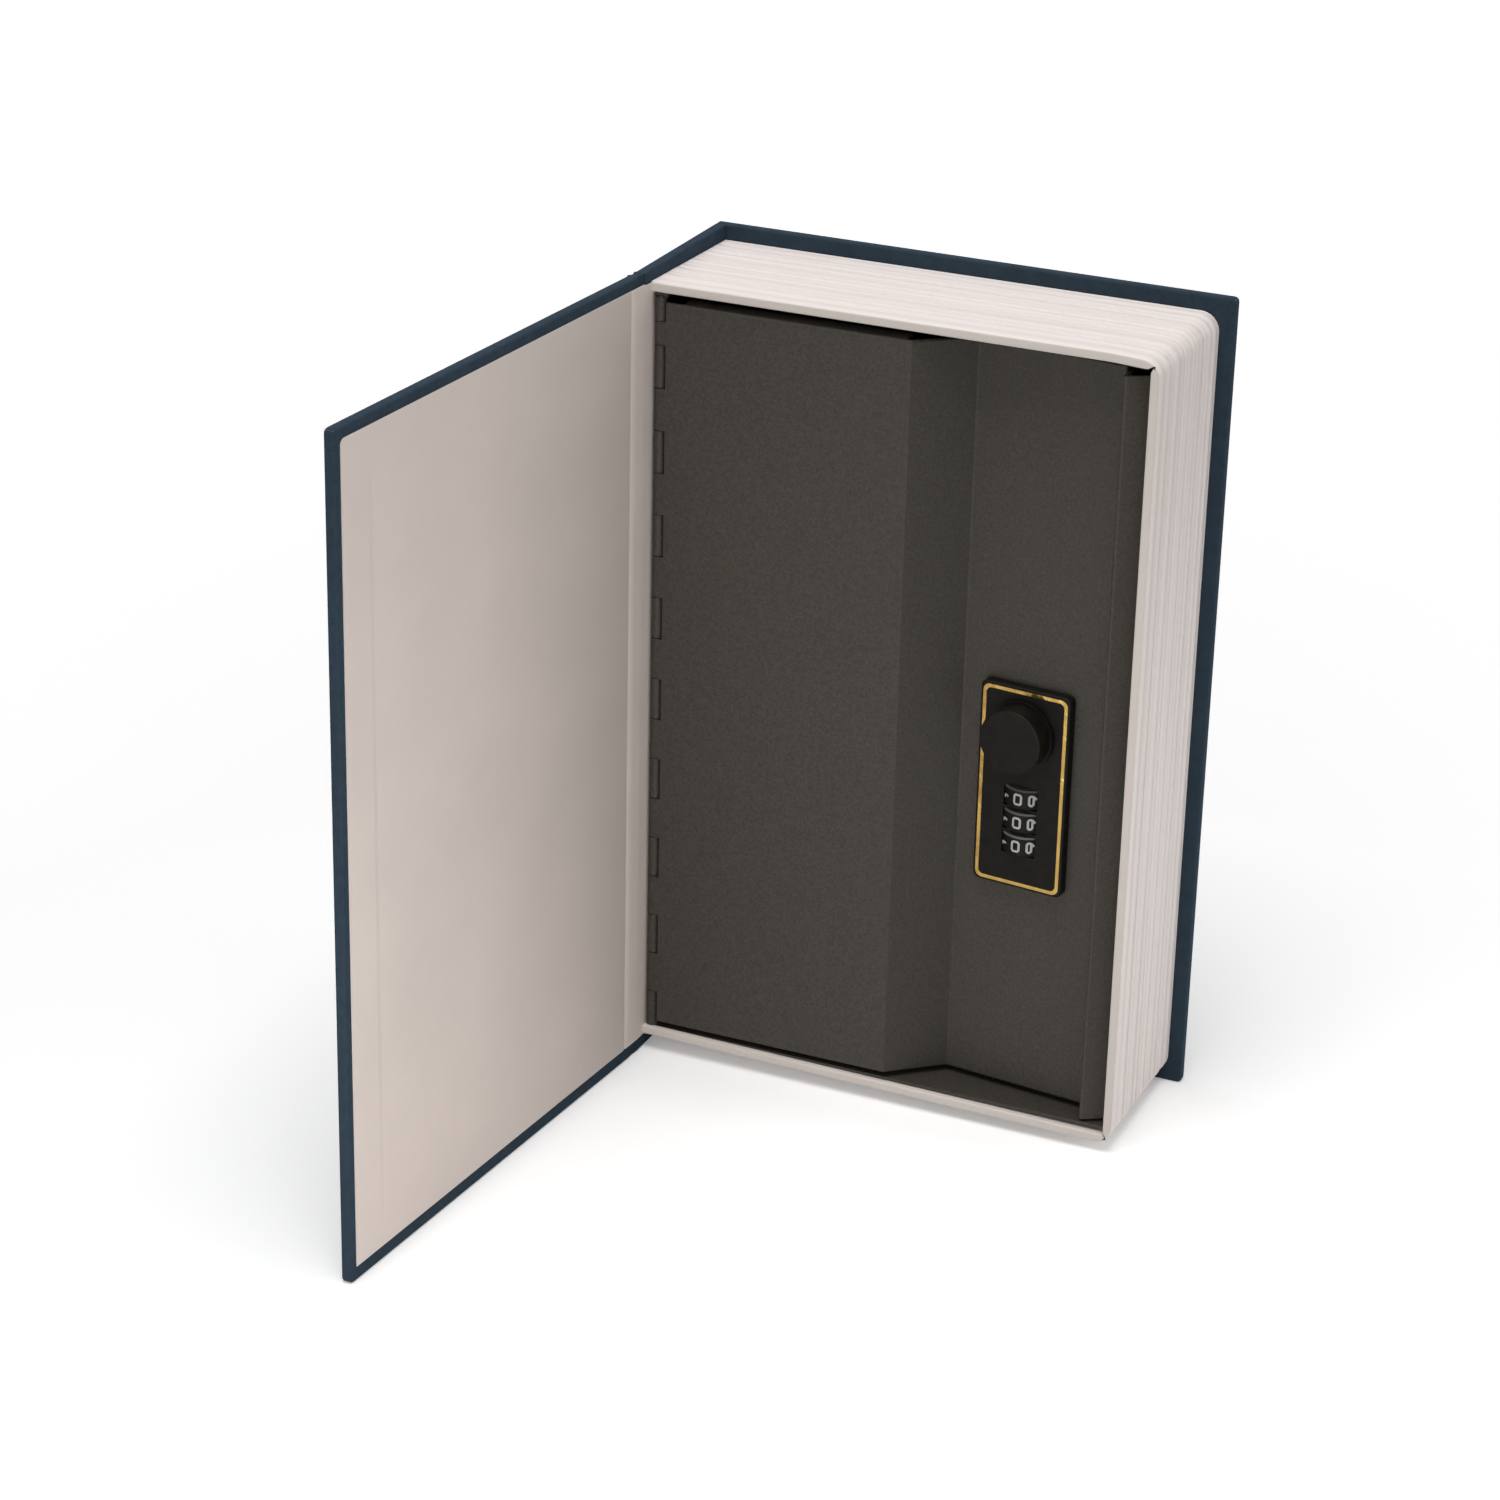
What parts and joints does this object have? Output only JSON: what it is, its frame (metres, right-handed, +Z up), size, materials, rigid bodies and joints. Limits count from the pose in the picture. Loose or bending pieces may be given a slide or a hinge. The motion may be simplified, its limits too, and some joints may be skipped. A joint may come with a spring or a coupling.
{
  "type": "book-shaped cash box",
  "caption": "Hardback-book cash box: cloth cover opens on a steel lock box whose stepped hinged door carries a dial combination lock with a turn knob and cam.",
  "frame": {"origin": "Middle of the footprint of the standing box with its cover open as pictured, at floor level.", "axes": "+X from the spine to the fore-edge, +Y from the front of the box to the back cover, +Z up from tail to head."},
  "size_m": [0.1661, 0.2092, 0.24],
  "materials": {
    "greyboard": "raw grey board, sealed in the covering",
    "cover_cloth": "dark navy book cloth, fine matt weave",
    "endpaper": "matt off-white endpaper",
    "page_plastic": "white moulded strip ribbed like page edges",
    "box_steel": "dark grey fine-textured powder coat on folded sheet steel",
    "bright_steel": "plain zinc-plated steel",
    "lock_black": "black moulded plastic",
    "gold_line": "gold line inlaid in the lock plate",
    "dial_black": "black plastic number wheels",
    "hub_brass": "plain brass",
    "knob_black": "black satin plastic"
  },
  "bodies": {
    "book": {"spine_board": "greyboard", "spine_cloth": "cover_cloth", "back_board": "greyboard", "back_cloth": "cover_cloth", "back_endpaper": "endpaper", "joint_cloth": "cover_cloth", "hinge_paper": "endpaper", "page_block": "page_plastic", "box_body": "box_steel", "hinge_pin": "bright_steel"},
    "front_cover": {"front_board": "greyboard", "front_cloth": "cover_cloth", "front_endpaper": "endpaper"},
    "door": {"box_door": "box_steel", "lock_housing": "lock_black", "lock_trim": "gold_line", "clamp_plate": "bright_steel", "clamp_screws": "bright_steel", "lock_back_plate": "bright_steel", "back_plate_screws": "bright_steel", "dial_axle": "bright_steel", "detent_spring": "bright_steel", "locking_bar": "bright_steel"},
    "knob": {"lock_knob": "knob_black", "knob_spindle": "bright_steel", "lock_cam": "bright_steel", "cam_washer": "bright_steel", "cam_screw": "bright_steel"},
    "dial_top": {"dial_top": "dial_black", "dial_hub_top": "hub_brass"},
    "dial_middle": {"dial_middle": "dial_black", "dial_hub_middle": "hub_brass"},
    "dial_bottom": {"dial_bottom": "dial_black", "dial_hub_bottom": "hub_brass"}
  },
  "joints": [
    {"name": "cover_hinge", "type": "hinge", "parent": "book", "child": "front_cover", "pos_m": [-0.07192, 0.04754, 0.12], "axis": [0, 0, -1], "range_deg": [-94.2, 85.8], "deforming": ["joint_cloth", "hinge_paper"]},
    {"name": "door_hinge", "type": "hinge", "parent": "book", "child": "door", "pos_m": [-0.06642, 0.05405, 0.12], "axis": [0, 0, -1], "range_deg": [0, 92]},
    {"name": "knob_turn", "type": "hinge", "parent": "door", "child": "knob", "pos_m": [0.04301, 0.06268, 0.1201], "axis": [-0.1132, -0.9936, 0], "range_deg": [-90, 0]},
    {"name": "dial_top_turn", "type": "hinge", "parent": "door", "child": "dial_top", "pos_m": [0.04395, 0.06478, 0.101], "axis": [0, 0, 1], "continuous": true},
    {"name": "dial_middle_turn", "type": "hinge", "parent": "door", "child": "dial_middle", "pos_m": [0.04395, 0.06478, 0.0938], "axis": [0, 0, 1], "continuous": true},
    {"name": "dial_bottom_turn", "type": "hinge", "parent": "door", "child": "dial_bottom", "pos_m": [0.04395, 0.06478, 0.0866], "axis": [0, 0, 1], "continuous": true}
  ]
}
